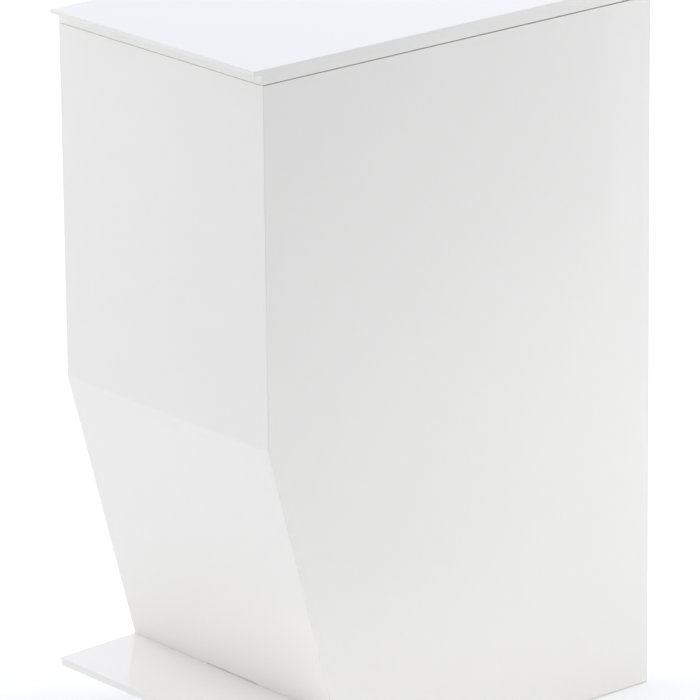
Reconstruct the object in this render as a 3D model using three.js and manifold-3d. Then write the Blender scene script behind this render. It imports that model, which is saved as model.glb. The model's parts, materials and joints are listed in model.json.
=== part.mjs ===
// A pedal-operated waste bin of glossy white sheet: a deep, narrow cabinet whose front leans inwards below
// a fold, a hinged lid with a finger lip, and a pedal plate whose lever lifts the lid through a push rod.
// Millimetres, +Z up, front towards -Y. Until the last lines, y is measured back from the upper front face,
// z up from the bottom edges of the panels, and x from the middle of the width.
import * as THREE from "three";
import { mergeVertices } from "three/addons/utils/BufferGeometryUtils.js";
import Module from "manifold-3d";

const wasm = await Module();
wasm.setup();

const radians = THREE.MathUtils.degToRad;

// Cabinet
const WIDTH = 260;
const DEPTH = 410;
const BODY_HEIGHT = 598.2;
const SHEET = 6;
const FOLD_HEIGHT = 297.5;
const LEAN = Math.atan(0.2665); // how far the lower front leans in from the vertical
const FOLD_RADIUS = 10; // outside radius of the bend
const FOOT_HEIGHT = 1.5;
const FOOT_RADIUS = 10;
const FOOT_X = 100;
const FOOT_Y = [112, 384];
const SHELF_BOTTOM = 76;
const SHELF_RAIL = 10; // square section
const SHELF_RAIL_FRONT = 90;

// Lid
const LID_GAP = 0.9; // shadow gap between body and lid
const LID_TOP = BODY_HEIGHT + 13;
const LID_SHEET = 4;
const LIP = 8.5; // how far the plate overhangs the front
const REAR_RAIL = 10;
const BUMPER_RADIUS = 2;
const BUMPER_Y = [60, 330];

// Hinges
const HINGE_X = 85;
const LEAF_WIDTH = 56;
const BARREL_WIDTH = 32;
const HINGE_SCREW_X = 22; // either side of a leaf's middle
const LEAF_SHEET = 1.5;
const LEAF_DROP = 26;
const BODY_SCREW_DROP = 16; // hinge axis to the body leaf's screws
const KNUCKLE_WIDTH = 9.5; // of each outer knuckle
const KNUCKLE_RADIUS = 3.2;
const KNUCKLE_CLEAR = KNUCKLE_RADIUS + 0.4; // where the flat of each leaf starts
const HINGE_PIN = { radius: 1.5, headRadius: 2.4, head: 1 };

// Pedal and its lever
const PEDAL_TOP = 56.5; // at the plate's back edge
const PEDAL_SHEET = 7;
const PEDAL_FRONT = -13.9;
const PEDAL_TILT = radians(1.54); // the plate falls towards its front edge
const PEDAL_CLEAR = 0.4; // between the plate's back edge and the leaning front
const TONGUE_WIDTH = 62;
const TONGUE_END = 150;
const TONGUE_SCREWS = [95, 130];
const TONGUE_SCREW_LENGTH = PEDAL_SHEET + 4;
const SLOT_WIDTH = 67;
const SLOT_ABOVE = 0.8; // opening left above the tongue
const SLOT_BELOW = 2; // and below it when the pedal is fully down
const PIVOT_Y = 190;
const LEVER_WIDTH = 30;
const LEVER_HEIGHT = 18;
const LEVER_SHEET = 2;
const LEVER_FRONT = 112; // reach of the channel in front of the pivot
const LEVER_REAR = 210;
const AXLE_RADIUS = 3;
const AXLE_OVERHANG = 4; // beyond each bracket
const BUSH = { radius: 5, flangeRadius: 7, flange: 1.6 };
const BRACKET = { gap: 2.5, sheet: 3, depth: 26, foot: 20, headroom: 10, screwX: 31, screwY: 7 };
const CLIP = { sheet: 1.2, rim: 2.5, mouth: 3.2 };
const BRACKET_SCREW_LENGTH = 8;

// Lifting gear
const LID_TRAVEL = radians(75);
const LIFT_RADIUS = 26; // hinge axis to lug pin
const PIN_RADIUS = 2;
const PIN_HEAD_RADIUS = 3.2;
const PIN_HEAD = 1.5;
const LUG = { pad: 3, halfWidth: 15, front: 14, earRadius: 6.5, earStep: 2, earInside: 3, earOutside: 7 };
const ROD_REACH = 200.5; // lever pivot to rod pin
const ROD_WIDTH = 18;
const ROD_SHEET = 3;
const ROD_END = 9; // bar beyond each pin
const SLOT_PLAY = 0.35; // around a pin in the bar's slots
const ARC_ERROR = 0.46; // how far the lug pin's arc strays from the rod's even lift
const REACH_ERROR = 0.4; // how far the lever's pin strays fore and aft
const WEB_CLEAR = 8; // between the lever's web and the bar
const GUIDE_WIDTH = 24;
const GUIDE_HEIGHT = 15;
const GUIDE_Z = [100, 540];
const GUIDE_PLAY = 0.4;
const SHELF_NOTCH = 16; // width of the shelf's cut-out for the bar

// Bucket
const BUCKET_WALL = 2.5;
const BUCKET_RIM_TOP = 590;
const BUCKET_RIM = 6; // how far the rim stands out from the wall
const BUCKET_RIM_HEIGHT = 8;
const BUCKET_CLEAR = 5; // around the rim
const BUCKET_CORNER = { floor: 18, fold: 20, top: 22 };
// How far the wall stands in from its line under the rim, at its sides, front and rear.
const BUCKET_DRAFT = { floor: [7, 8, 6], fold: [3, 2, 3] };

// Clearances
const GAP = 0.3; // between faces that are bonded or seated on each other
const MITRE_GAP = 0.45; // the same at the mitred corners, measured along the front
const HOLE_PLAY = 0.3; // radial play of fixed pins and screws
const RUNNING_PLAY = 0.2; // radial play of the lever's bushes

// Screws
const SCREW_RADIUS = 1.5;
const SCREW_HEAD_RADIUS = 2.8;
const SCREW_HEAD_HEIGHT = 1.8;
const HINGE_SCREW_LENGTHS = { body: 7, lid: 8 };

const white = { color: 0xf4f4f2, roughness: 0.08, metalness: 0 };
const steel = { color: 0xb9bcc0, roughness: 0.35, metalness: 1 };
const nylon = { color: 0xe6e4dc, roughness: 0.5, metalness: 0 };
const rubber = { color: 0xd8d8d4, roughness: 0.8, metalness: 0 };
const polypropylene = { color: 0xd2d4d4, roughness: 0.45, metalness: 0 };

// ---- shapes ----

// A closed solid through rings of points with equally many corners. Each ring turns right-handed about the
// way to the next.
function stack(rings) {
  const count = rings[0].length;
  const last = (rings.length - 1) * count;
  const faces = [];
  for (let k = 1; k < count - 1; k++) {
    faces.push(0, k + 1, k, last, last + k, last + k + 1);
  }
  for (let start = 0; start < last; start += count) {
    for (let k = 0; k < count; k++) {
      const a = start + k;
      const b = start + ((k + 1) % count);
      faces.push(a, b, b + count, a, b + count, a + count);
    }
  }
  const geometry = new THREE.BufferGeometry().setFromPoints(rings.flat());
  geometry.setIndex(faces);
  return geometry;
}

function box(xs, ys, zs) {
  const [width, depth, height] = [xs, ys, zs].map(([from, to]) => to - from);
  const geometry = new THREE.BoxGeometry(width, depth, height);
  return geometry.translate(...[xs, ys, zs].map(([from, to]) => (from + to) / 2));
}

// A round bar along X, through the point (y, z).
function barX(radius, [from, to], y, z, sides = 24) {
  const geometry = new THREE.CylinderGeometry(radius, radius, to - from, sides);
  return geometry.rotateZ(Math.PI / 2).translate((from + to) / 2, y, z);
}

// A round bar along Y, through the point (x, z), and one along Z, through the point (x, y).
function barY(radius, [from, to], x, z, sides = 12) {
  return new THREE.CylinderGeometry(radius, radius, to - from, sides).translate(x, (from + to) / 2, z);
}

function barZ(radius, [from, to], x, y, sides = 12) {
  const geometry = new THREE.CylinderGeometry(radius, radius, to - from, sides);
  return geometry.rotateX(Math.PI / 2).translate(x, y, (from + to) / 2);
}

// An outline of (y, z) points, drawn along X.
function extrudeX(outline, [from, to]) {
  const isShape = outline instanceof THREE.Shape;
  const shape = isShape ? outline : new THREE.Shape(outline.map((point) => new THREE.Vector2(...point)));
  const settings = { depth: to - from, bevelEnabled: false, curveSegments: 8 };
  const geometry = new THREE.ExtrudeGeometry(shape, settings);
  const turn = new THREE.Matrix4().makeBasis(
    new THREE.Vector3(0, 1, 0),
    new THREE.Vector3(0, 0, 1),
    new THREE.Vector3(1, 0, 0),
  );
  return geometry.applyMatrix4(turn).translate(from, 0, 0);
}

// A turned piece about the Y axis, from (radius, y) points that start and end on the axis.
function turned(profile, sides = 16) {
  return new THREE.LatheGeometry(profile.map(([radius, y]) => new THREE.Vector2(radius, y)), sides);
}

function toSolid(geometry) {
  const bare = new THREE.BufferGeometry().setAttribute("position", geometry.getAttribute("position"));
  if (geometry.index) {
    bare.setIndex(geometry.index);
  }
  const merged = mergeVertices(bare, 1e-4);
  const mesh = new wasm.Mesh({
    numProp: 3,
    vertProperties: merged.attributes.position.array,
    triVerts: new Uint32Array(merged.index.array),
  });
  return new wasm.Manifold(mesh);
}

function fromSolid(solid) {
  const mesh = solid.getMesh();
  const geometry = new THREE.BufferGeometry();
  geometry.setAttribute("position", new THREE.BufferAttribute(mesh.vertProperties, 3));
  geometry.setIndex(new THREE.BufferAttribute(mesh.triVerts, 1));
  return geometry;
}

const cut = (geometry, ...tools) =>
  fromSolid(tools.reduce((solid, tool) => solid.subtract(toSolid(tool)), toSolid(geometry)));
const join = (geometry, ...others) =>
  fromSolid(others.reduce((solid, other) => solid.add(toSolid(other)), toSolid(geometry)));

// ---- the bin and its bodies ----

const bin = new THREE.Group();
const cabinet = new THREE.Group();
const lid = new THREE.Group();
const pedal = new THREE.Group();
const rod = new THREE.Group();
const bucket = new THREE.Group();
bin.add(cabinet, lid, pedal, rod, bucket);

function add(group, name, geometry, look) {
  geometry.computeVertexNormals();
  const mesh = new THREE.Mesh(geometry, new THREE.MeshStandardMaterial(look));
  mesh.name = name;
  group.add(mesh);
  return mesh;
}

const sides = [
  ["left", -1],
  ["right", 1],
];

// ---- cabinet ----

// The front's profile, top to bottom, at a depth below its outer surface: straight, round the fold, then
// leaning in.
function frontProfile(depth) {
  const centre = [FOLD_RADIUS, FOLD_HEIGHT + FOLD_RADIUS * Math.tan(LEAN / 2)];
  const radius = FOLD_RADIUS - depth;
  const steps = 4;
  const bend = Array.from({ length: steps + 1 }, (_, step) => {
    const angle = (LEAN * step) / steps;
    return [centre[0] - radius * Math.cos(angle), centre[1] - radius * Math.sin(angle)];
  });
  const [bendY, bendZ] = bend[steps];
  return [[depth, BODY_HEIGHT], ...bend, [bendY + bendZ * Math.tan(LEAN), 0]];
}

// Where the leaning part of the front is at a height, at a depth below its outer surface.
function leaningY(depth, z) {
  const [[bottomY]] = frontProfile(depth).slice(-1);
  return bottomY - z * Math.tan(LEAN);
}

const half = WIDTH / 2;
const inside = half - SHEET; // half the clear width
const screwHole = SCREW_RADIUS + HOLE_PLAY;
const rearInside = DEPTH - SHEET; // the rear panel's inner face
const boardX = [-inside + GAP, inside - GAP]; // boards between the side panels

// Hinge, lug, pedal and lever positions at rest
const hingeY = DEPTH + GAP + KNUCKLE_RADIUS;
const hingeZ = BODY_HEIGHT + LID_GAP / 2;
const lugPin = {
  y: hingeY - LIFT_RADIUS * Math.cos(LID_TRAVEL / 2),
  z: hingeZ - LIFT_RADIUS * Math.sin(LID_TRAVEL / 2),
};
const rodLift = 2 * LIFT_RADIUS * Math.sin(LID_TRAVEL / 2);
const pedalSwing = Math.asin(rodLift / 2 / ROD_REACH); // half of the pedal's travel
const pedalBack = leaningY(0, PEDAL_TOP) - PEDAL_CLEAR;
const pedalRise = (PIVOT_Y - pedalBack) * Math.tan(PEDAL_TILT);
const tongueUnder = PEDAL_TOP + pedalRise - PEDAL_SHEET / Math.cos(PEDAL_TILT); // at the pivot
const pivotZ = tongueUnder - GAP - LEVER_HEIGHT / 2;
const rodPin = {
  y: PIVOT_Y + ROD_REACH * Math.cos(pedalSwing),
  z: pivotZ - ROD_REACH * Math.sin(pedalSwing),
};
const pinWander = LIFT_RADIUS * (1 - Math.cos(LID_TRAVEL / 2)); // fore-and-aft travel of the lug pin
const rodY = lugPin.y - pinWander / 2; // the bar's middle

// The front is one sheet, mitred along both sides and bent at the fold.
const slotTop = PEDAL_TOP + SLOT_ABOVE;
const slotDrop = (PIVOT_Y - pedalBack) * Math.sin(2 * pedalSwing);
const slotBottom = PEDAL_TOP - PEDAL_SHEET - slotDrop - SLOT_BELOW;
const outerFront = frontProfile(0);
const innerFront = frontProfile(SHEET);
const frontRings = outerFront.map(([outerY, outerZ], k) => {
  const [innerY, innerZ] = innerFront[k];
  return [
    new THREE.Vector3(half, outerY, outerZ),
    new THREE.Vector3(-half, outerY, outerZ),
    new THREE.Vector3(-inside, innerY, innerZ),
    new THREE.Vector3(inside, innerY, innerZ),
  ];
});
const slotY = [pedalBack - 2 * SHEET, pedalBack + 4 * SHEET]; // through the leaning sheet
const slotCutter = box([-SLOT_WIDTH / 2, SLOT_WIDTH / 2], slotY, [slotBottom, slotTop]);
add(cabinet, "front_panel", cut(stack(frontRings), slotCutter), white);

// Each side panel is mitred where it meets the front.
for (const [side, sign] of sides) {
  const ring = (x, depth) =>
    [...frontProfile(depth), [DEPTH, 0], [DEPTH, BODY_HEIGHT]].map(([y, z]) => new THREE.Vector3(x, y, z));
  const panel = stack([ring(inside, SHEET + MITRE_GAP), ring(half, MITRE_GAP)]);
  add(cabinet, `${side}_side_panel`, panel, white).scale.x = sign;
}

// Boards that follow the leaning front: the base and the shelf that carries the bucket.
function board([from, to]) {
  const depth = SHEET + GAP;
  const outline = [
    [leaningY(depth, from), from],
    [rearInside - GAP, from],
    [rearInside - GAP, to],
    [leaningY(depth, to), to],
  ];
  return extrudeX(outline, boardX);
}

const bracketScrews = sides.flatMap(([, sign]) =>
  [-BRACKET.screwY, BRACKET.screwY].map((offset) => ({ x: sign * BRACKET.screwX, y: PIVOT_Y + offset })),
);
const baseHoles = bracketScrews.map(({ x, y }) => barZ(screwHole, [-1, SHEET + 1], x, y));
add(cabinet, "base_plate", cut(board([0, SHEET]), ...baseHoles), white);

const guideFront = rodY - GUIDE_WIDTH / 2;
const notchX = [-SHELF_NOTCH / 2, SHELF_NOTCH / 2];
const rodNotch = box(notchX, [guideFront, DEPTH], [SHELF_BOTTOM - 1, SHELF_BOTTOM + SHEET + 1]);
add(cabinet, "bucket_shelf", cut(board([SHELF_BOTTOM, SHELF_BOTTOM + SHEET]), rodNotch), white);

for (const [side, sign] of sides) {
  const x = [inside - GAP - SHELF_RAIL, inside - GAP];
  const z = [SHELF_BOTTOM - GAP - SHELF_RAIL, SHELF_BOTTOM - GAP];
  const y = [SHELF_RAIL_FRONT, rearInside - SHELF_RAIL];
  add(cabinet, `${side}_shelf_rail`, box(x, y, z), white).scale.x = sign;
}

const hingeScrews = sides.flatMap(([side, sign]) =>
  [-HINGE_SCREW_X, HINGE_SCREW_X].map((offset, k) => {
    return { name: `${side}_${k + 1}`, x: sign * (HINGE_X + offset) };
  }),
);
const bodyScrewZ = hingeZ - BODY_SCREW_DROP;
const rearHoles = hingeScrews.map(({ x }) => barY(screwHole, [rearInside - 1, DEPTH + 1], x, bodyScrewZ));
add(
  cabinet,
  "rear_panel",
  cut(box(boardX, [rearInside, DEPTH], [0, BODY_HEIGHT]), ...rearHoles),
  white,
);

for (const [side, sign] of sides) {
  for (const [k, end] of ["front", "rear"].entries()) {
    const foot = barZ(FOOT_RADIUS, [-FOOT_HEIGHT, -GAP], sign * FOOT_X, FOOT_Y[k], 24);
    add(cabinet, `foot_${end}_${side}`, foot, rubber);
    const bumperZ = [BODY_HEIGHT + GAP, BODY_HEIGHT + LID_GAP - GAP];
    const bumper = barZ(BUMPER_RADIUS, bumperZ, sign * (half - SHEET / 2), BUMPER_Y[k]);
    add(cabinet, `lid_bumper_${end}_${side}`, bumper, rubber);
  }
}

// ---- lifting rod and its guides ----

const pinRoom = 2 * (PIN_RADIUS + SLOT_PLAY);
const upperSlot = { length: pinRoom + pinWander, height: pinRoom + 2 * ARC_ERROR };
const lowerSlot = { length: pinRoom + 2 * REACH_ERROR, height: pinRoom };

function rodSlot({ length, height }, z) {
  const shape = new THREE.Shape();
  const reach = (length - height) / 2;
  shape.moveTo(rodY - reach, z - height / 2);
  shape.lineTo(rodY + reach, z - height / 2);
  shape.absarc(rodY + reach, z, height / 2, -Math.PI / 2, Math.PI / 2);
  shape.lineTo(rodY - reach, z + height / 2);
  shape.absarc(rodY - reach, z, height / 2, Math.PI / 2, 1.5 * Math.PI);
  return extrudeX(shape, [-ROD_SHEET, ROD_SHEET]);
}

const bar = box(
  [-ROD_SHEET / 2, ROD_SHEET / 2],
  [rodY - ROD_WIDTH / 2, rodY + ROD_WIDTH / 2],
  [rodPin.z - ROD_END, lugPin.z + ROD_END],
);
add(rod, "push_rod", cut(bar, rodSlot(upperSlot, lugPin.z), rodSlot(lowerSlot, rodPin.z)), steel);

for (const [k, place] of ["lower", "upper"].entries()) {
  const z = [GUIDE_Z[k], GUIDE_Z[k] + GUIDE_HEIGHT];
  const block = box([-GUIDE_WIDTH / 2, GUIDE_WIDTH / 2], [guideFront, rearInside - GAP], z);
  const way = box(
    [-ROD_SHEET / 2 - GUIDE_PLAY, ROD_SHEET / 2 + GUIDE_PLAY],
    [rodY - ROD_WIDTH / 2 - GUIDE_PLAY, rodY + ROD_WIDTH / 2 + GUIDE_PLAY],
    [z[0] - 1, z[1] + 1],
  );
  add(cabinet, `${place}_rod_guide`, cut(block, way), nylon);
}

// ---- lid ----

const railBottom = BODY_HEIGHT + LID_GAP;
const railTop = LID_TOP - LID_SHEET - GAP;
add(lid, "lid_plate", box([-half, half], [-LIP, DEPTH], [LID_TOP - LID_SHEET, LID_TOP]), white);

// A rail under the plate's edge, mitred at both ends: outer and inner corners, then up.
function rail(corners) {
  const ring = (z) => corners.map(([x, y]) => new THREE.Vector3(x, y, z));
  return stack([ring(railBottom), ring(railTop)]);
}

const frontRail = [
  [-half + MITRE_GAP, 0],
  [half - MITRE_GAP, 0],
  [inside - MITRE_GAP, SHEET],
  [-inside + MITRE_GAP, SHEET],
];
const rearRail = [
  [-inside + MITRE_GAP, DEPTH - REAR_RAIL],
  [inside - MITRE_GAP, DEPTH - REAR_RAIL],
  [inside - MITRE_GAP, DEPTH],
  [-inside + MITRE_GAP, DEPTH],
];
const sideRail = [
  [inside, SHEET],
  [half, 0],
  [half, DEPTH],
  [inside, DEPTH],
];
const lidScrewZ = (railBottom + railTop) / 2;
const lidHoleY = [DEPTH - HINGE_SCREW_LENGTHS.lid + 1, DEPTH + 1];
const lidScrewHoles = hingeScrews.map(({ x }) => barY(screwHole, lidHoleY, x, lidScrewZ));
add(lid, "lid_front_rail", rail(frontRail), white);
add(lid, "lid_rear_rail", cut(rail(rearRail), ...lidScrewHoles), white);
for (const [side, sign] of sides) {
  add(lid, `lid_${side}_rail`, rail(sideRail), white).scale.x = sign;
}

// The lug hangs from the plate just in front of the rear rail; its two ears hold the pin that the rod lifts.
const lugPadZ = [railTop - LUG.pad, railTop];
const lugPadY = [lugPin.y - LUG.front, DEPTH - REAR_RAIL - GAP];
const lugPad = box([-LUG.halfWidth, LUG.halfWidth], lugPadY, lugPadZ);
const ear = new THREE.Shape();
ear.moveTo(lugPadY[0] + LUG.earStep, lugPadZ[0] + 1);
ear.absarc(lugPin.y, lugPin.z, LUG.earRadius, Math.PI * 1.06, Math.PI * 2);
ear.lineTo(lugPin.y + LUG.earRadius, lugPadZ[0] + 1);
const ears = [
  [-LUG.earOutside, -LUG.earInside],
  [LUG.earInside, LUG.earOutside],
].map((x) => extrudeX(ear, x));
const lugHole = barX(PIN_RADIUS + HOLE_PLAY, [-LUG.halfWidth, LUG.halfWidth], lugPin.y, lugPin.z);
add(lid, "lid_lug", cut(join(lugPad, ...ears), lugHole), steel);

// A pin along X with a flat head at each end.
function headedPin(radius, headRadius, halfGrip, headHeight) {
  const profile = [
    [0, -halfGrip - headHeight],
    [headRadius, -halfGrip - headHeight],
    [headRadius, -halfGrip],
    [radius, -halfGrip],
    [radius, halfGrip],
    [headRadius, halfGrip],
    [headRadius, halfGrip + headHeight],
    [0, halfGrip + headHeight],
  ];
  return turned(profile, 24).rotateZ(Math.PI / 2);
}

const lugPinSolid = headedPin(PIN_RADIUS, PIN_HEAD_RADIUS, LUG.earOutside + GAP, PIN_HEAD);
add(lid, "lug_pin", lugPinSolid, steel).position.set(0, lugPin.y, lugPin.z);

// ---- hinges ----

const leafY = [DEPTH + GAP, DEPTH + GAP + LEAF_SHEET];

// A hinge leaf: a plate from z[0] to z[1], with knuckles over the given stretches of x.
function leaf(plateZ, knuckles, screwZ, centreX) {
  const plate = box([centreX - LEAF_WIDTH / 2, centreX + LEAF_WIDTH / 2], leafY, plateZ);
  const towards = plateZ[0] < hingeZ ? -1 : 1;
  const webZ = [hingeZ, hingeZ + towards * (KNUCKLE_CLEAR + 1)].sort((a, b) => a - b);
  const barrels = knuckles.flatMap(([from, to]) => {
    const x = [centreX + from, centreX + to];
    return [box(x, leafY, webZ), barX(KNUCKLE_RADIUS, x, hingeY, hingeZ)];
  });
  const boreX = [centreX - LEAF_WIDTH, centreX + LEAF_WIDTH];
  const bore = barX(HINGE_PIN.radius + HOLE_PLAY, boreX, hingeY, hingeZ);
  const holes = [-HINGE_SCREW_X, HINGE_SCREW_X].map((offset) =>
    barY(screwHole, [DEPTH, leafY[1] + 1], centreX + offset, screwZ),
  );
  return cut(join(plate, ...barrels), bore, ...holes);
}

const outerKnuckles = [
  [-BARREL_WIDTH / 2, -BARREL_WIDTH / 2 + KNUCKLE_WIDTH],
  [BARREL_WIDTH / 2 - KNUCKLE_WIDTH, BARREL_WIDTH / 2],
];
const middleKnuckle = [
  [-BARREL_WIDTH / 2 + KNUCKLE_WIDTH + GAP, BARREL_WIDTH / 2 - KNUCKLE_WIDTH - GAP],
];
for (const [side, sign] of sides) {
  const x = sign * HINGE_X;
  const bodyLeaf = leaf([hingeZ - LEAF_DROP, hingeZ - KNUCKLE_CLEAR], outerKnuckles, bodyScrewZ, x);
  const lidLeaf = leaf([hingeZ + KNUCKLE_CLEAR, LID_TOP - GAP], middleKnuckle, lidScrewZ, x);
  add(cabinet, `hinge_body_leaf_${side}`, bodyLeaf, steel);
  add(lid, `hinge_lid_leaf_${side}`, lidLeaf, steel);
  const pin = headedPin(HINGE_PIN.radius, HINGE_PIN.headRadius, BARREL_WIDTH / 2 + GAP, HINGE_PIN.head);
  add(cabinet, `hinge_pin_${side}`, pin, steel).position.set(x, hingeY, hingeZ);
}

// A pan-head screw along Y, its head's seat at the origin and its head towards +Y.
function screw(length) {
  const profile = [
    [0, -length],
    [SCREW_RADIUS, -length],
    [SCREW_RADIUS, 0],
    [SCREW_HEAD_RADIUS, 0],
    [SCREW_HEAD_RADIUS, SCREW_HEAD_HEIGHT * 0.5],
    [SCREW_HEAD_RADIUS * 0.75, SCREW_HEAD_HEIGHT],
    [0, SCREW_HEAD_HEIGHT],
  ];
  return turned(profile, 12);
}

for (const { name, x } of hingeScrews) {
  const seatY = leafY[1] + GAP;
  const bodyScrew = add(cabinet, `hinge_body_screw_${name}`, screw(HINGE_SCREW_LENGTHS.body), steel);
  const lidScrew = add(lid, `hinge_lid_screw_${name}`, screw(HINGE_SCREW_LENGTHS.lid), steel);
  bodyScrew.position.set(x, seatY, bodyScrewZ);
  lidScrew.position.set(x, seatY, lidScrewZ);
}

// ---- pedal ----

const tongueHalf = TONGUE_WIDTH / 2;
const plateDepth = (pedalBack - PEDAL_FRONT) / Math.cos(PEDAL_TILT);
const tongueReach = (TONGUE_END - pedalBack) / Math.cos(PEDAL_TILT);
const pedalOutline = [
  [-half, -plateDepth],
  [half, -plateDepth],
  [half, 0],
  [tongueHalf, 0],
  [tongueHalf, tongueReach],
  [-tongueHalf, tongueReach],
  [-tongueHalf, 0],
  [-half, 0],
].map(([x, y]) => new THREE.Vector2(x, y));
const pedalSheet = { depth: PEDAL_SHEET, bevelEnabled: false };
const pedalBlank = new THREE.ExtrudeGeometry(new THREE.Shape(pedalOutline), pedalSheet);
const tongueHoles = TONGUE_SCREWS.map((y) => barZ(screwHole, [-PEDAL_SHEET - 1, 1], 0, y - pedalBack));
const pedalBlade = cut(pedalBlank.translate(0, 0, -PEDAL_SHEET), ...tongueHoles);
const pedalPlate = add(pedal, "pedal_plate", pedalBlade, white);
pedalPlate.position.set(0, pedalBack, PEDAL_TOP);
pedalPlate.rotation.x = PEDAL_TILT;

// The lever is a folded channel, open below, cranked at its pivot so that the rod pin swings evenly about
// level. Its web stops short of the rod, which rises between its flanges.
const rise = (reach) => [reach * Math.cos(PEDAL_TILT), reach * Math.sin(PEDAL_TILT)];
const fall = (reach) => [reach * Math.cos(pedalSwing), -reach * Math.sin(pedalSwing)];
const leverTop = (beyond) => [rise(-LEVER_FRONT - beyond), [0, 0], fall(LEVER_REAR + beyond)];
const leverPoint = ([y, z], below) => [PIVOT_Y + y, pivotZ + LEVER_HEIGHT / 2 + z - below];
const [leverTip, leverKnee, leverTail] = leverTop(0);
const pastEnds = leverTop(1);
const leverProfile = [
  ...leverTop(0).map((point) => leverPoint(point, 0)),
  leverPoint(leverTail, LEVER_HEIGHT),
  leverPoint(leverKnee, LEVER_HEIGHT),
  leverPoint(leverTip, LEVER_HEIGHT / 2),
].reverse();
const channelInside = [
  ...pastEnds.map((point) => leverPoint(point, LEVER_SHEET)),
  leverPoint(pastEnds[2], 2 * LEVER_HEIGHT),
  leverPoint(pastEnds[0], 2 * LEVER_HEIGHT),
].reverse();
const flangeX = LEVER_WIDTH / 2;
const channelX = flangeX - LEVER_SHEET;
const webEnd = rodY - ROD_WIDTH / 2 - WEB_CLEAR;
const leverCuts = [
  extrudeX(channelInside, [-channelX, channelX]),
  box([-channelX, channelX], [webEnd, DEPTH], [0, GUIDE_Z[0]]),
  barX(BUSH.radius + HOLE_PLAY, [-LEVER_WIDTH, LEVER_WIDTH], PIVOT_Y, pivotZ),
  barX(PIN_RADIUS + HOLE_PLAY, [-LEVER_WIDTH, LEVER_WIDTH], rodPin.y, rodPin.z),
  ...TONGUE_SCREWS.map((y) => barZ(screwHole, [pivotZ, PEDAL_TOP + 5], 0, y)),
];
add(pedal, "pedal_lever", cut(extrudeX(leverProfile, [-flangeX, flangeX]), ...leverCuts), steel);

for (const [k, y] of TONGUE_SCREWS.entries()) {
  const seat = (y - pedalBack) * Math.tan(PEDAL_TILT) + GAP;
  const mesh = add(pedal, `tongue_screw_${k + 1}`, screw(TONGUE_SCREW_LENGTH), steel);
  mesh.rotation.x = Math.PI / 2 + PEDAL_TILT;
  mesh.position.set(0, y, PEDAL_TOP + seat);
}

const rodPinSolid = headedPin(PIN_RADIUS, PIN_HEAD_RADIUS, flangeX + GAP, PIN_HEAD);
add(pedal, "rod_pin", rodPinSolid, steel).position.set(0, rodPin.y, rodPin.z);

// Flanged bushes in the lever's flanges turn on the axle.
for (const [side, sign] of sides) {
  const bore = AXLE_RADIUS + RUNNING_PLAY;
  const innerEnd = -LEVER_SHEET - 2 * GAP;
  const profile = [
    [bore, innerEnd],
    [BUSH.radius, innerEnd],
    [BUSH.radius, 0],
    [BUSH.flangeRadius, 0],
    [BUSH.flangeRadius, BUSH.flange],
    [bore, BUSH.flange],
    [bore, innerEnd],
  ];
  const bush = add(pedal, `lever_bush_${side}`, turned(profile, 24).rotateZ(-Math.PI / 2), nylon);
  bush.position.set(sign * (flangeX + GAP), PIVOT_Y, pivotZ);
  bush.scale.x = sign;
}

// ---- lever pivot ----

const bracketX = [flangeX + BRACKET.gap, flangeX + BRACKET.gap + BRACKET.sheet];
const bracketY = [PIVOT_Y - BRACKET.depth / 2, PIVOT_Y + BRACKET.depth / 2];
const bracketZ = [SHEET + GAP, SHEET + GAP + BRACKET.sheet];
const through = ([from, to]) => [from - 1, to + 1];
for (const [side, sign] of sides) {
  const leg = box(bracketX, bracketY, [bracketZ[0], pivotZ + BRACKET.headroom]);
  const foot = box([bracketX[0], bracketX[0] + BRACKET.foot], bracketY, bracketZ);
  const holes = [-BRACKET.screwY, BRACKET.screwY].map((offset) =>
    barZ(screwHole, through(bracketZ), BRACKET.screwX, PIVOT_Y + offset),
  );
  const axleHole = barX(AXLE_RADIUS + HOLE_PLAY, through(bracketX), PIVOT_Y, pivotZ);
  add(cabinet, `pivot_bracket_${side}`, cut(join(leg, foot), axleHole, ...holes), steel).scale.x = sign;

  const clipX = [bracketX[1] + GAP, bracketX[1] + GAP + CLIP.sheet];
  const clipRadius = AXLE_RADIUS + CLIP.rim;
  const mouthY = [PIVOT_Y - CLIP.mouth / 2, PIVOT_Y + CLIP.mouth / 2];
  const clip = cut(
    barX(clipRadius, clipX, PIVOT_Y, pivotZ),
    barX(AXLE_RADIUS + HOLE_PLAY, through(clipX), PIVOT_Y, pivotZ),
    box(through(clipX), mouthY, [pivotZ - clipRadius - 1, pivotZ]),
  );
  add(cabinet, `axle_clip_${side}`, clip, steel).scale.x = sign;
}
const axleEnd = bracketX[1] + AXLE_OVERHANG;
add(cabinet, "pivot_axle", barX(AXLE_RADIUS, [-axleEnd, axleEnd], PIVOT_Y, pivotZ), steel);

for (const [k, { x, y }] of bracketScrews.entries()) {
  const mesh = add(cabinet, `bracket_screw_${k + 1}`, screw(BRACKET_SCREW_LENGTH), steel);
  mesh.rotation.x = Math.PI / 2;
  mesh.position.set(x, y, bracketZ[1] + GAP);
}

// ---- bucket ----

// A rounded rectangle at one height.
function roundedRing([x0, x1], [y0, y1], radius, z) {
  const steps = 5;
  const corners = [
    [x1 - radius, y1 - radius],
    [x0 + radius, y1 - radius],
    [x0 + radius, y0 + radius],
    [x1 - radius, y0 + radius],
  ];
  return corners.flatMap(([x, y], corner) =>
    Array.from({ length: steps + 1 }, (_, step) => {
      const angle = (Math.PI / 2) * (corner + step / steps);
      return new THREE.Vector3(x + radius * Math.cos(angle), y + radius * Math.sin(angle), z);
    }),
  );
}

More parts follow.
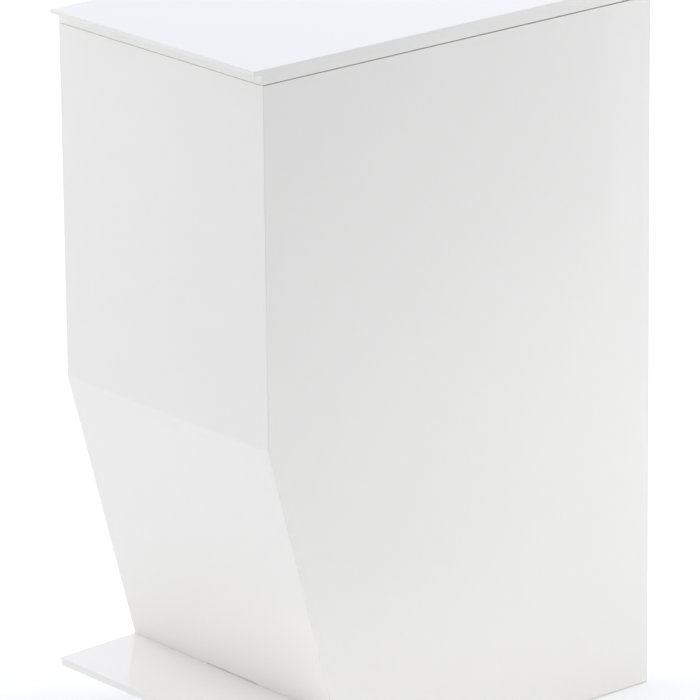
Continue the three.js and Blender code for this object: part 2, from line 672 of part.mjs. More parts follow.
const bucketBottom = SHELF_BOTTOM + SHEET + GAP;
const rimBottom = BUCKET_RIM_TOP - BUCKET_RIM_HEIGHT;
const rimFront = SHEET + BUCKET_CLEAR;
const rimRear = guideFront - BUCKET_CLEAR;
const rimHalf = inside - BUCKET_CLEAR;
const wallHalf = rimHalf - BUCKET_RIM;
const wallFront = rimFront + BUCKET_RIM;
const wallRear = rimRear - BUCKET_RIM;
const floorFront = leaningY(SHEET, bucketBottom);
// Half width, front, rear, corner radius and height of the bucket's wall, outside.
const drafted = ([side, front, rear], from) => [wallHalf - side, from + front, wallRear - rear];
const wallSections = [
  [...drafted(BUCKET_DRAFT.floor, floorFront), BUCKET_CORNER.floor, bucketBottom],
  [...drafted(BUCKET_DRAFT.fold, wallFront), BUCKET_CORNER.fold, FOLD_HEIGHT],
  [wallHalf, wallFront, wallRear, BUCKET_CORNER.top, rimBottom],
];
const wallRing = ([halfWidth, front, rear, radius, z], inset = 0, height = z) =>
  roundedRing([-halfWidth + inset, halfWidth - inset], [front + inset, rear - inset], radius - inset, height);
const [floorSection, foldSection, topSection] = wallSections;
const rimRing = (z) =>
  roundedRing([-rimHalf, rimHalf], [rimFront, rimRear], BUCKET_CORNER.top + BUCKET_RIM, z);
const outerBucket = stack([
  ...wallSections.map((section) => wallRing(section)),
  rimRing(rimBottom),
  rimRing(BUCKET_RIM_TOP),
]);
const innerBucket = stack([
  wallRing(floorSection, BUCKET_WALL, bucketBottom + BUCKET_WALL),
  wallRing(foldSection, BUCKET_WALL),
  wallRing(topSection, BUCKET_WALL),
  wallRing(topSection, BUCKET_WALL, BUCKET_RIM_TOP + 1),
]);
add(bucket, "inner_bucket", cut(outerBucket, innerBucket), polypropylene);

// The origin is on the floor, under the middle of the whole bin from pedal to hinge knuckles.
const rearmost = hingeY + KNUCKLE_RADIUS;
bin.position.set(0, -(PEDAL_FRONT + rearmost) / 2, FOOT_HEIGHT);

export default bin;
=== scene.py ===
"""A pedal-operated waste bin of glossy white sheet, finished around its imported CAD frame.

Metres, +Z up, front to -Y.
"""

import json
import math

import bmesh
import bpy
from mathutils import Matrix, Quaternion, Vector


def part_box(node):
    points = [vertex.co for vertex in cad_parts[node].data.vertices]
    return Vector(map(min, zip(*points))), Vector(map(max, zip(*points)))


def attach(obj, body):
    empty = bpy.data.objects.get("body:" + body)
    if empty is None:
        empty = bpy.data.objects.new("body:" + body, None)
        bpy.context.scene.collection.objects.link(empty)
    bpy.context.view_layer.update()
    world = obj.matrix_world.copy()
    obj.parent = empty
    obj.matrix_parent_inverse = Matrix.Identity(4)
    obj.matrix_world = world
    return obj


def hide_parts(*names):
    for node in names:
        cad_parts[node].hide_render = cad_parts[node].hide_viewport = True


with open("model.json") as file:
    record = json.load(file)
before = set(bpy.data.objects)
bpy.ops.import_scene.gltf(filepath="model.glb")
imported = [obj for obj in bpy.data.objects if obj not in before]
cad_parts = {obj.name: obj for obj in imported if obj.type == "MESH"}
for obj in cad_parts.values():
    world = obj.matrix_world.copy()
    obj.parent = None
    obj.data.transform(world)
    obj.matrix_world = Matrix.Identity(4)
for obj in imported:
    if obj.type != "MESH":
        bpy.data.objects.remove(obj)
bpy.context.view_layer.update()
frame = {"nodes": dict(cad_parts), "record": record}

NODE_BODY = {node: body for body, nodes in frame["record"]["behaviour"]["bodies"].items() for node in nodes}
NODE_SLOT = {part["node"]: part["material_slot"] for part in frame["record"]["subparts"]}
MM = 0.001

# The camera stands well back with a long lens, above and to the right of the front, and leans a little.
CAMERA_PLACE = Vector((3.7258, -3.1365, 1.8881))
CAMERA_AZIMUTH = math.radians(49.97)
CAMERA_ELEVATION = math.radians(17.96)
CAMERA_ROLL = math.radians(-0.62)
CAMERA_LENS = 318.6

# Sheet and edge sizes
FOLD_RADIUS = 10 * MM
FOLD_STEPS = 16
EDGE = 0.3 * MM  # rounding of a polished sheet edge
CORNER = 0.7 * MM  # rounding of the upright corners where the front meets the sides
CORNER_STEPS = 4
JOINT = 0.25 * MM  # how far a board grows into each bonded joint, which leaves a hairline
PEDAL_REACH = 0.3 * MM  # how far the pedal's back edge grows towards the front
FRONT_REST = 0.55 * MM  # how much narrower the gap under the lid is along the front than at the back
SIDE_REST = 0.25 * MM  # the same along the sides, where they meet the front
SKIRT = 0.9 * MM  # how much nearer to the floor the panels' bottom edges are than in the CAD
SEAT = 0.27 * MM  # how far a pad grows towards what it is stuck to
SLOT_TOP = 0.35 * MM  # how much lower the slot's top edge is than in the CAD
SMOOTH_ANGLE = math.radians(38)

# Hardware
PIN_SHANK = {"lug_pin": 2 * MM, "rod_pin": 2 * MM}  # radii, where a pin is thicker than a hinge pin
HINGE_PIN_SHANK = 1.5 * MM
SCREW_HEAD_TALL = 1.8 * MM
LEAF_HOLE = 1.8 * MM  # radius of the holes in a hinge leaf
LEAF_SCREW_X = 22 * MM  # from the leaf's middle to each screw


# ---- materials ----


class Surface:
    """A material with a Principled shader, and short ways to add the nodes that vary it."""

    def __init__(self, name, **sockets):
        self.material = bpy.data.materials.new(name)
        self.material.use_nodes = True
        self.tree = self.material.node_tree
        self.shader = self.tree.nodes["Principled BSDF"]
        for socket, value in sockets.items():
            self.shader.inputs[socket.replace("_", " ")].default_value = value
        self.place = self.tree.nodes.new("ShaderNodeTexCoord").outputs["Object"]

    def node(self, kind, inputs=(), **settings):
        made = self.tree.nodes.new(kind)
        for setting, value in settings.items():
            setattr(made, setting, value)
        for socket, value in dict(inputs).items():
            if isinstance(value, bpy.types.NodeSocket):
                self.tree.links.new(value, made.inputs[socket])
            else:
                made.inputs[socket].default_value = value
        return made

    def noise(self, scale, detail=2.0, roughness=0.5, stretch=(1, 1, 1), turn=(0, 0, 0)):
        """Noise with scale features to the metre, pulled long or short by stretch after the turn."""
        mapped = self.node(
            "ShaderNodeMapping", {"Vector": self.place, "Scale": stretch, "Rotation": turn}
        ).outputs["Vector"]
        made = self.node(
            "ShaderNodeTexNoise", {"Vector": mapped, "Scale": scale, "Detail": detail, "Roughness": roughness}
        )
        return made.outputs["Fac"]

    def between(self, value, low, high, to_low=0.0, to_high=1.0):
        """value moved from the range low..high to to_low..to_high, and held inside it."""
        inputs = {"Value": value, "From Min": low, "From Max": high, "To Min": to_low, "To Max": to_high}
        return self.node("ShaderNodeMapRange", inputs, clamp=True).outputs["Result"]

    def total(self, first, second):
        return self.node("ShaderNodeMath", {0: first, 1: second}, operation="ADD").outputs[0]

    def blend(self, share, first, second):
        """Colour first, turning into colour second as share goes from 0 to 1."""
        made = self.node("ShaderNodeMix", data_type="RGBA")
        self.tree.links.new(share, made.inputs[0])
        made.inputs[6].default_value = (*first, 1)
        made.inputs[7].default_value = (*second, 1)
        return made.outputs[2]

    def bump(self, *layers):
        """Stacks bumps, each a (height from 0 to 1, depth in metres) pair."""
        normal = None
        for height, depth in layers:
            made = self.node("ShaderNodeBump", {"Height": height, "Distance": depth, "Strength": 1.0})
            if normal:
                self.tree.links.new(normal, made.inputs["Normal"])
            normal = made.outputs["Normal"]
        self.feed("Normal", normal)

    def feed(self, socket, value):
        self.tree.links.new(value, self.shader.inputs[socket])


def gloss_sheet():
    """Cast white acrylic sheet: a slightly wavy mirror gloss with wiping marks and hairline scratches."""
    surface = Surface("gloss_white", IOR=1.49)
    mottle = surface.noise(7, detail=3)
    surface.feed("Base Color", surface.blend(mottle, (0.926, 0.913, 0.886), (0.934, 0.920, 0.892)))
    smears = surface.between(surface.noise(9, detail=6, roughness=0.6), 0.45, 0.75, 0.025, 0.07)
    scratches = [
        surface.between(surface.noise(1, 1, 0.4, stretch, turn), 0.735, 0.76)
        for stretch, turn in (((1400, 9, 9), (0.5, 0.2, 0.9)), ((9, 9, 1500), (0.3, 0.7, 0.1)))
    ]
    marks = surface.total(*scratches)
    surface.feed("Roughness", surface.total(smears, surface.between(marks, 0, 1, 0, 0.12)))
    surface.bump(
        (surface.noise(6, detail=1), 0.12 * MM),
        (surface.noise(160, detail=2), 0.0012 * MM),
        (marks, -0.0008 * MM),
    )
    return surface.material


def plated_steel():
    """Zinc-plated sheet steel: satin, faintly blotched, with drawn lines."""
    surface = Surface("steel", Metallic=1.0)
    blotches = surface.noise(90, detail=4)
    surface.feed("Base Color", surface.blend(blotches, (0.50, 0.51, 0.53), (0.66, 0.67, 0.68)))
    drawn = surface.noise(1, 3, 0.6, stretch=(60, 4000, 4000))
    surface.feed("Roughness", surface.between(surface.total(blotches, drawn), 0.6, 1.4, 0.24, 0.42))
    surface.bump((drawn, 0.004 * MM), (surface.noise(700, detail=3), 0.003 * MM))
    return surface.material


def natural_nylon():
    """Moulded natural nylon: waxy, a little translucent, with a fine grain."""
    surface = Surface("nylon", Subsurface_Weight=0.15, Subsurface_Scale=0.002, IOR=1.53)
    cloud = surface.noise(60, detail=3)
    surface.feed("Base Color", surface.blend(cloud, (0.74, 0.72, 0.66), (0.80, 0.78, 0.73)))
    surface.feed("Roughness", surface.between(cloud, 0.3, 0.7, 0.38, 0.52))
    surface.bump((surface.noise(2200, detail=2), 0.006 * MM))
    return surface.material


def soft_pad():
    """Grey thermoplastic rubber, matt and a little dusty."""
    surface = Surface("soft_pad", IOR=1.45)
    dust = surface.noise(220, detail=5, roughness=0.7)
    surface.feed("Base Color", surface.blend(dust, (0.43, 0.43, 0.42), (0.55, 0.55, 0.53)))
    surface.feed("Roughness", surface.between(dust, 0.3, 0.7, 0.62, 0.85))
    surface.bump((surface.noise(1800, detail=3), 0.01 * MM))
    return surface.material


def moulded_bucket():
    """Light grey polypropylene with a fine spark-eroded grain and drag marks from emptying."""
    surface = Surface("bucket_plastic", IOR=1.5, Subsurface_Weight=0.08, Subsurface_Scale=0.003)
    cloud = surface.noise(14, detail=3)
    surface.feed("Base Color", surface.blend(cloud, (0.60, 0.61, 0.62), (0.66, 0.67, 0.675)))
    drags = surface.between(surface.noise(1, 2, 0.5, stretch=(700, 700, 6)), 0.66, 0.72)
    rough = surface.between(cloud, 0.3, 0.7, 0.36, 0.46)
    surface.feed("Roughness", surface.total(rough, surface.between(drags, 0, 1, 0, 0.18)))
    surface.bump((surface.noise(2600, detail=2), 0.012 * MM), (drags, -0.004 * MM))
    return surface.material


MATERIALS = {
    "gloss_white": gloss_sheet(),
    "steel": plated_steel(),
    "nylon": natural_nylon(),
    "soft_pad": soft_pad(),
    "bucket_plastic": moulded_bucket(),
}


# ---- mesh tools ----


def cad_mesh(node):
    """The CAD node's shape with its corners welded and its flat faces whole."""
    bm = bmesh.new()
    bm.from_mesh(frame["nodes"][node].data)
    bmesh.ops.remove_doubles(bm, verts=bm.verts, dist=1e-6)
    bmesh.ops.dissolve_limit(bm, angle_limit=math.radians(0.5), verts=bm.verts, edges=bm.edges)
    return bm


def stretch(bm, low=(0, 0, 0), high=(0, 0, 0)):
    """Moves each vertex by low or high on each axis, depending on which side of the middle it is."""
    points = [vert.co.copy() for vert in bm.verts]
    for axis in range(3):
        values = [point[axis] for point in points]
        middle = (min(values) + max(values)) / 2
        for vert, point in zip(bm.verts, points):
            vert.co[axis] += high[axis] if point[axis] > middle else -low[axis]
    return bm


def loft(rings):
    """A closed solid through rings of points with equally many corners."""
    bm = bmesh.new()
    rows = [[bm.verts.new(point) for point in ring] for ring in rings]
    bm.faces.new(reversed(rows[0]))
    bm.faces.new(rows[-1])
    for lower, upper in zip(rows, rows[1:]):
        for k, corner in enumerate(lower):
            after = (k + 1) % len(lower)
            bm.faces.new((corner, lower[after], upper[after], upper[k]))
    bmesh.ops.recalc_face_normals(bm, faces=bm.faces)
    return bm


def block(low, high):
    corners = [(low[0], low[1]), (high[0], low[1]), (high[0], high[1]), (low[0], high[1])]
    return loft([[(x, y, z) for x, y in corners] for z in (low[2], high[2])])


def turned(profile, steps=48):
    """A solid of revolution about Z from (radius, height) points. The line ends on the axis, or is closed."""
    bm = bmesh.new()
    closed = profile[0][0] > 0
    verts = [bm.verts.new((radius, 0, height)) for radius, height in profile]
    pairs = list(zip(verts, verts[1:])) + ([(verts[-1], verts[0])] if closed else [])
    edges = [bm.edges.new(pair) for pair in pairs]
    bmesh.ops.spin(bm, geom=verts + edges, axis=(0, 0, 1), cent=(0, 0, 0), steps=steps, angle=math.tau)
    bmesh.ops.remove_doubles(bm, verts=bm.verts, dist=1e-7)
    bmesh.ops.recalc_face_normals(bm, faces=bm.faces)
    return bm


ALONG = {
    "+x": Matrix.Rotation(math.pi / 2, 4, "Y"),
    "-x": Matrix.Rotation(-math.pi / 2, 4, "Y"),
    "+y": Matrix.Rotation(-math.pi / 2, 4, "X"),
    "+z": Matrix.Identity(4),
}


def put(bm, place, along="+z"):
    """Turns a shape made along Z to point along an axis and moves it to its place."""
    bm.transform(Matrix.Translation(place) @ ALONG[along])
    return bm


def rod(radius, length, place, along):
    """A plain round solid that starts at its place."""
    return put(turned([(0, 0), (radius, 0), (radius, length), (0, length)]), place, along)


def combine(bm, other, operation="DIFFERENCE"):
    """The boolean of two closed meshes."""
    pair = []
    for source in (bm, other):
        mesh = bpy.data.meshes.new("working")
        source.to_mesh(mesh)
        source.free()
        pair.append(bpy.data.objects.new("working", mesh))
        bpy.context.scene.collection.objects.link(pair[-1])
    modifier = pair[0].modifiers.new("combine", "BOOLEAN")
    modifier.object, modifier.operation, modifier.solver = pair[1], operation, "EXACT"
    result = bmesh.new()
    result.from_object(pair[0], bpy.context.evaluated_depsgraph_get())
    for working in pair:
        mesh = working.data
        bpy.data.objects.remove(working)
        bpy.data.meshes.remove(mesh)
    bmesh.ops.remove_doubles(result, verts=result.verts, dist=1e-6)
    flat = math.radians(0.3)
    bmesh.ops.dissolve_limit(result, angle_limit=flat, verts=result.verts, edges=result.edges)
    return result


def soften(bm, width, segments, crisp):
    """Rounds the edges that turn sharply, apart from those that crisp picks, and marks what stays sharp."""

    def sharp(edge):
        return len(edge.link_faces) != 2 or edge.calc_face_angle() > SMOOTH_ANGLE

    edges = [e for e in bm.edges if len(e.link_faces) == 2 and sharp(e) and not crisp(e)]
    if width:
        bmesh.ops.bevel(
            bm, geom=edges, offset=width, segments=segments, profile=0.5, affect="EDGES", clamp_overlap=True
        )
    for edge in bm.edges:
        edge.smooth = not sharp(edge)
    for face in bm.faces:
        face.smooth = True


def show(node, bm, edge=EDGE, segments=3, crisp=lambda edge: False):
    """Makes the finished piece that stands for a CAD node, on that node's body and in its slot."""
    soften(bm, edge, segments, crisp)
    mesh = bpy.data.meshes.new(f"{node}_fine")
    bm.to_mesh(mesh)
    bm.free()
    mesh.materials.append(MATERIALS[NODE_SLOT[node]])
    piece = bpy.data.objects.new(mesh.name, mesh)
    bpy.context.scene.collection.objects.link(piece)
    weigh = piece.modifiers.new("shading", "WEIGHTED_NORMAL")
    weigh.weight, weigh.keep_sharp = 100, True
    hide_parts(node)
    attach(piece, NODE_BODY[node])
    return piece


# ---- cabinet ----

front_low, front_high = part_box("front_panel")
side_low, side_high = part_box("right_side_panel")
HALF = front_high.x
SHEET = side_high.x - side_low.x
BOTTOM = front_low.z - SKIRT
INSIDE = HALF - SHEET
front_points = [v.co.copy() for v in cad_mesh("front_panel").verts]
slot_points = [point for point in front_points if abs(point.x) < INSIDE - MM]
SLOT_HALF = max(point.x for point in slot_points)
SLOT_Z = (min(point.z for point in slot_points), max(point.z for point in slot_points) - SLOT_TOP)
# The outer face's (z, y) line, lowest point first
outer_line = sorted({(round(z, 6), round(y, 6)) for x, y, z in front_points if x > HALF - MM})
(foot_z, foot_y), (bend_z, bend_y) = outer_line[:2]
LEAN = math.atan2(foot_y - bend_y, bend_z - foot_z)
FOLD_CENTRE = Vector((front_low.y + FOLD_RADIUS, outer_line[-2][0]))


def front_profile(depth):
    """The front's (y, z) line at a depth below its outer face, from the top round the fold to the bottom."""
    radius = FOLD_RADIUS - depth
    line = [(front_low.y + depth, front_high.z)]
    for step in range(FOLD_STEPS + 1):
        angle = LEAN * step / FOLD_STEPS
        across, down = radius * math.cos(angle), radius * math.sin(angle)
        line.append((FOLD_CENTRE.x - across, FOLD_CENTRE.y - down))
    last_y, last_z = line[-1]
    line.append((last_y + (last_z - BOTTOM) * math.tan(LEAN), BOTTOM))
    return line


def lean_y(z):
    """Where the outer face of the leaning front is at a height."""
    bottom_y, bottom_z = front_profile(0)[-1]
    return bottom_y - (z - bottom_z) * math.tan(LEAN)


def corner(start, end):
    """(x, depth) points round the upright right corner, between two angles: 0 is the front, 90 the side."""
    shares = [step / CORNER_STEPS for step in range(CORNER_STEPS + 1)]
    angles = [math.radians(start + (end - start) * share) for share in shares]
    return [(HALF - CORNER + CORNER * math.sin(a), CORNER - CORNER * math.cos(a)) for a in angles]


MITRE_X = corner(0, 45)[-1][0]
FRONT_PLAN = [*corner(0, 45), (INSIDE, SHEET)]
FRONT_PLAN += [(-x, depth) for x, depth in reversed(FRONT_PLAN)]
SIDE_PLAN = [(INSIDE, SHEET), *corner(45, 90)]
SIDES = (("left", -1), ("right", 1))


def on_mitre(edge):
    """Whether an edge lies in the mitre between the front and a side, where the two are bonded."""

    def in_mitre(x, y, z):
        near = min(abs(abs(x) - MITRE_X), abs(abs(x) - INSIDE)) < 1e-6
        return near and y < max(front_low.y, lean_y(z)) + 1.5 * SHEET

    return all(in_mitre(*vert.co) for vert in edge.verts)


def front_panel():
    columns = [[(x, y, z) for y, z in front_profile(depth)] for x, depth in FRONT_PLAN]
    reach = 3 * SHEET
    middle = lean_y(sum(SLOT_Z) / 2)
    cutter = block((-SLOT_HALF, middle - reach, SLOT_Z[0]), (SLOT_HALF, middle + reach, SLOT_Z[1]))
    upright = [e for e in cutter.edges if abs(e.verts[0].co.y - e.verts[1].co.y) > reach]
    bmesh.ops.bevel(cutter, geom=upright, offset=1.5 * MM, segments=5, profile=0.5, affect="EDGES")
    show("front_panel", combine(loft(list(zip(*columns))), cutter), crisp=on_mitre)


def side_panels():
    back = [(side_high.y, BOTTOM), (side_high.y, side_high.z)]
    for side, sign in SIDES:
        rings = [[(sign * x, y, z) for y, z in front_profile(depth) + back] for x, depth in SIDE_PLAN]
        show(f"{side}_side_panel", loft(rings), crisp=on_mitre)


def boards():
    """Base, shelf, rear panel and shelf rails, grown into their joints until only a hairline is left."""
    growth = {
        "base_plate": ((JOINT, JOINT, 0), (JOINT, JOINT, 0)),
        "bucket_shelf": ((JOINT, 0, 0), (JOINT, 0, 0)),
        "rear_panel": ((JOINT, 0, SKIRT), (JOINT, 0, 0)),
        "left_shelf_rail": ((JOINT, 0, 0), (0, 0, JOINT)),
        "right_shelf_rail": ((0, 0, 0), (JOINT, 0, JOINT)),
    }
    for node, (low, high) in growth.items():
        show(node, stretch(cad_mesh(node), low, high))


def pads(name):
    """The four pads of a kind: node, middle, lowest height, radius, and height grown onto the seat."""
    for end in ("front", "rear"):
        for side, _ in SIDES:
            node = f"{name}_{end}_{side}"
            low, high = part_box(node)
            yield node, (low + high) / 2, low.z, (high.x - low.x) / 2, high.z - low.z + SEAT


def feet():
    groove, heel = 0.5 * MM, 0.7 * MM
    ridges = [(0.3, groove), (0.34, 0), (0.55, 0), (0.6, groove), (0.68, groove), (0.73, 0), (0.93, 0)]
    for node, middle, low_z, radius, height in pads("foot"):
        profile = [(0, groove)] + [(radius * share, z) for share, z in ridges]
        profile += [(radius, heel), (radius * 0.97, height), (0, height)]
        show(node, put(turned(profile), (middle.x, middle.y, low_z)), edge=0.15 * MM, segments=2)


def bumpers():
    for node, middle, low_z, radius, height in pads("lid_bumper"):
        profile = [(0, 0), (radius, 0), (radius, height * 0.4)]
        profile += [(radius * math.cos(a), height * (0.4 + 0.6 * math.sin(a))) for a in (0.4, 0.8, 1.2)]
        profile.append((0, height))
        show(node, put(turned(profile, 32), (middle.x, middle.y, low_z - SEAT)), edge=0)


# ---- lid ----


def lid():
    """The plate and its rails, which meet face to face, so only their outer edges are rounded."""
    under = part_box("lid_plate")[0].z
    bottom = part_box("lid_front_rail")[0].z

    def bonded(edge):
        low = all(vert.co.z < under + 1e-6 for vert in edge.verts)
        return low and any(vert.co.y > front_low.y for vert in edge.verts)

    def against_plate(edge):
        return on_mitre(edge) or all(vert.co.z > under - 1e-6 for vert in edge.verts)

    def side_drop(y):
        """How much lower than at the back a side rail's bottom edge is."""
        return SIDE_REST * (side_high.y - y) / (side_high.y - front_low.y)

    show("lid_plate", cad_mesh("lid_plate"), edge=0.45 * MM, segments=4, crisp=bonded)
    plan = [(x, front_low.y + depth) for x, depth in FRONT_PLAN]
    front = loft([[(x, y, z) for x, y in plan] for z in (bottom - FRONT_REST, under)])
    show("lid_front_rail", front, crisp=against_plate)
    plan = [(x, front_low.y + depth) for x, depth in SIDE_PLAN]
    plan += [(HALF, side_high.y), (INSIDE, side_high.y)]
    for side, sign in SIDES:
        low_ring = [(sign * x, y, bottom - side_drop(y)) for x, y in plan]
        high_ring = [(sign * x, y, under) for x, y in plan]
        show(f"lid_{side}_rail", loft([low_ring, high_ring]), crisp=against_plate)
    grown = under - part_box("lid_rear_rail")[1].z
    rear = stretch(cad_mesh("lid_rear_rail"), low=(0.4 * MM, 0, 0), high=(0.4 * MM, 0, grown))
    show("lid_rear_rail", rear, crisp=against_plate)
    show("lid_lug", cad_mesh("lid_lug"), edge=0.35 * MM)


# ---- turned hardware ----


def headed_pin(node):
    """A rivet-like pin along X: a shank with a low domed head at each end."""
    low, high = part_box(node)
    length, head = high.x - low.x, (high.z - low.z) / 2
    thin = PIN_SHANK.get(node, HINGE_PIN_SHANK)
    cap = 1.0 * MM if node.startswith("hinge") else 1.5 * MM
    dome = [(0, 0), (head * 0.6, 0.12 * cap), (head * 0.9, 0.4 * cap), (head, 0.7 * cap), (head, cap)]
    dome.append((thin, cap))
    profile = dome + [(radius, length - height) for radius, height in reversed(dome)]
    centre = (low + high) / 2
    show(node, put(turned(profile), (low.x, centre.y, centre.z), "+x"), edge=0.12 * MM, segments=2)


def screw_mesh(length, along, place):
    """A pan-head screw with a cross recess and thread rings, the head's seat at its place."""
    shank, head, tall = 1.5 * MM, 2.8 * MM, SCREW_HEAD_TALL
    pitch, depth = 0.5 * MM, 0.25 * MM
    profile = [(0, -length), (shank * 0.6, -length)]
    for turn in range(int((length - 1.5 * MM) / pitch)):
        start = -length + 0.4 * MM + turn * pitch
        profile += [(shank - depth, start), (shank, start + pitch / 2)]
    profile += [(shank - depth, -0.9 * MM), (shank - depth, 0), (head, 0), (head, tall * 0.35)]
    profile += [(head * math.cos(a), tall * (0.35 + 0.65 * math.sin(a))) for a in (0.35, 0.7, 1.05, 1.35)]
    bm = turned(profile + [(0, tall)], 32)
    wide, deep = 1.35 * MM, 0.35 * MM
    levels = ((0.45 * wide, tall - 1.2 * MM), (wide, tall + MM))
    for turn in (0, math.pi / 2):
        wing = loft([[(-w, -deep, z), (w, -deep, z), (w, deep, z), (-w, deep, z)] for w, z in levels])
        wing.transform(Matrix.Rotation(turn, 4, "Z"))
        bm = combine(bm, wing)
    return put(bm, place, along)


def screws():
    """Hinge screws point to the back, all the others up."""
    for node in NODE_SLOT:
        if "screw" not in node:
            continue
        low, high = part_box(node)
        place = (low + high) / 2
        axis, along = (1, "+y") if node.startswith("hinge") else (2, "+z")
        place[axis] = high[axis] - SCREW_HEAD_TALL
        length = high[axis] - low[axis] - SCREW_HEAD_TALL
        show(node, screw_mesh(length, along, place), edge=0.08 * MM, segments=2)


def bushes_and_axle():
    for side, along in (("left", "-x"), ("right", "+x")):
        node = f"lever_bush_{side}"
        low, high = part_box(node)
        centre = (low + high) / 2
        length = high.x - low.x
        bore, sleeve, flange, thick = 3.2 * MM, 5 * MM, (high.z - low.z) / 2, 1.6 * MM
        shoulder = length - thick
        profile = [(bore, 0), (sleeve, 0), (sleeve, shoulder), (flange, shoulder)]
        profile += [(flange, length), (bore, length)]
        inner = high.x if side == "left" else low.x
        show(node, put(turned(profile), (inner, centre.y, centre.z), along), edge=0.2 * MM)
    low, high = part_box("pivot_axle")
    centre = (low + high) / 2
    radius = (high.z - low.z) / 2
    show("pivot_axle", rod(radius, high.x - low.x, (low.x, centre.y, centre.z), "+x"), edge=0.4 * MM)


# ---- hinges ----


def hinge_leaf(node, toward):
    """One leaf: a plate with rounded corners that rolls into its knuckles.

    toward is -1 for the body leaf, which hangs below the pin, and 1 for the lid leaf above it.
    """
    low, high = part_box(node)
    pin_low, pin_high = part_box("hinge_pin_left")
    axis_y, axis_z = (pin_low.y + pin_high.y) / 2, (pin_low.z + pin_high.z) / 2
    radius = high.y - axis_y
    thick = 1.5 * MM
    middle = (low.x + high.x) / 2
    clear = radius + 0.4 * MM
    plate_z = (low.z, axis_z - clear) if toward < 0 else (axis_z + clear, high.z)
    bm = block((low.x, low.y, plate_z[0]), (high.x, low.y + thick, plate_z[1]))
    far_z = plate_z[0] if toward < 0 else plate_z[1]
    corners = [
        edge
        for edge in bm.edges
        if all(abs(vert.co.z - far_z) < 1e-6 for vert in edge.verts)
        and abs(edge.verts[0].co.y - edge.verts[1].co.y) > MM
    ]
    bmesh.ops.bevel(bm, geom=corners, offset=3 * MM, segments=8, profile=0.5, affect="EDGES")
    half_barrel, outer, play = 16 * MM, 9.5 * MM, 0.3 * MM
    if toward < 0:
        spans = [(-half_barrel, -half_barrel + outer), (half_barrel - outer, half_barrel)]
    else:
        spans = [(-half_barrel + outer + play, half_barrel - outer - play)]
    web_z = sorted((axis_z, axis_z + toward * (clear + MM)))
    for start, end in spans:
        web = block((middle + start, low.y, web_z[0]), (middle + end, low.y + thick, web_z[1]))
        bm = combine(bm, web, "UNION")
        bm = combine(bm, rod(radius, end - start, (middle + start, axis_y, axis_z), "+x"), "UNION")
    bm = combine(bm, rod(LEAF_HOLE, 60 * MM, (middle - 30 * MM, axis_y, axis_z), "+x"))
    screw_name = "hinge_body_screw" if toward < 0 else "hinge_lid_screw"
    screw_low, screw_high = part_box(next(name for name in NODE_SLOT if name.startswith(screw_name)))
    screw_z = (screw_low.z + screw_high.z) / 2
    for offset in (-LEAF_SCREW_X, LEAF_SCREW_X):
        bm = combine(bm, rod(LEAF_HOLE, 8 * MM, (middle + offset, low.y - 3 * MM, screw_z), "+y"))
    show(node, bm, edge=0.25 * MM)


def hinges():
    for side, _ in SIDES:
        hinge_leaf(f"hinge_body_leaf_{side}", -1)
        hinge_leaf(f"hinge_lid_leaf_{side}", 1)
        headed_pin(f"hinge_pin_{side}")


# ---- pedal and lifting gear ----


def pedal_plate():
    """At rest the plate all but touches the leaning front, so the edge that faces the front stays crisp."""

    def faces_front(vert):
        return 0 < lean_y(vert.co.z) - vert.co.y < SHEET / 2

    def crisp(edge):
        return all(faces_front(vert) for vert in edge.verts)

    plate = cad_mesh("pedal_plate")
    for vert in plate.verts:
        if faces_front(vert):
            vert.co.y += PEDAL_REACH
    show("pedal_plate", plate, edge=0.5 * MM, segments=4, crisp=crisp)


def pedal_gear():
    pedal_plate()
    widths = {
        "pedal_lever": 0.5 * MM,
        "push_rod": 0.3 * MM,
        "upper_rod_guide": 0.8 * MM,
        "lower_rod_guide": 0.8 * MM,
    }
    for side, _ in SIDES:
        widths[f"pivot_bracket_{side}"] = 0.5 * MM
        widths[f"axle_clip_{side}"] = 0.15 * MM
    for node, width in widths.items():
        show(node, cad_mesh(node), edge=width)
    headed_pin("lug_pin")
    headed_pin("rod_pin")


# ---- bucket ----


def rounded_ring(half, front, rear, radius, z, steps=10):
    """A rounded rectangle at one height, from x = -half to half and y = front to rear."""
    corners = [(half, rear, 0), (-half, rear, 1), (-half, front, 2), (half, front, 3)]
    points = []
    for x, y, quarter in corners:
        centre = (x - math.copysign(radius, x), y - (radius if quarter < 2 else -radius))
        for step in range(steps + 1):
            angle = (quarter + step / steps) * math.pi / 2
            across, along = radius * math.cos(angle), radius * math.sin(angle)
            points.append((centre[0] + across, centre[1] + along, z))
    return points


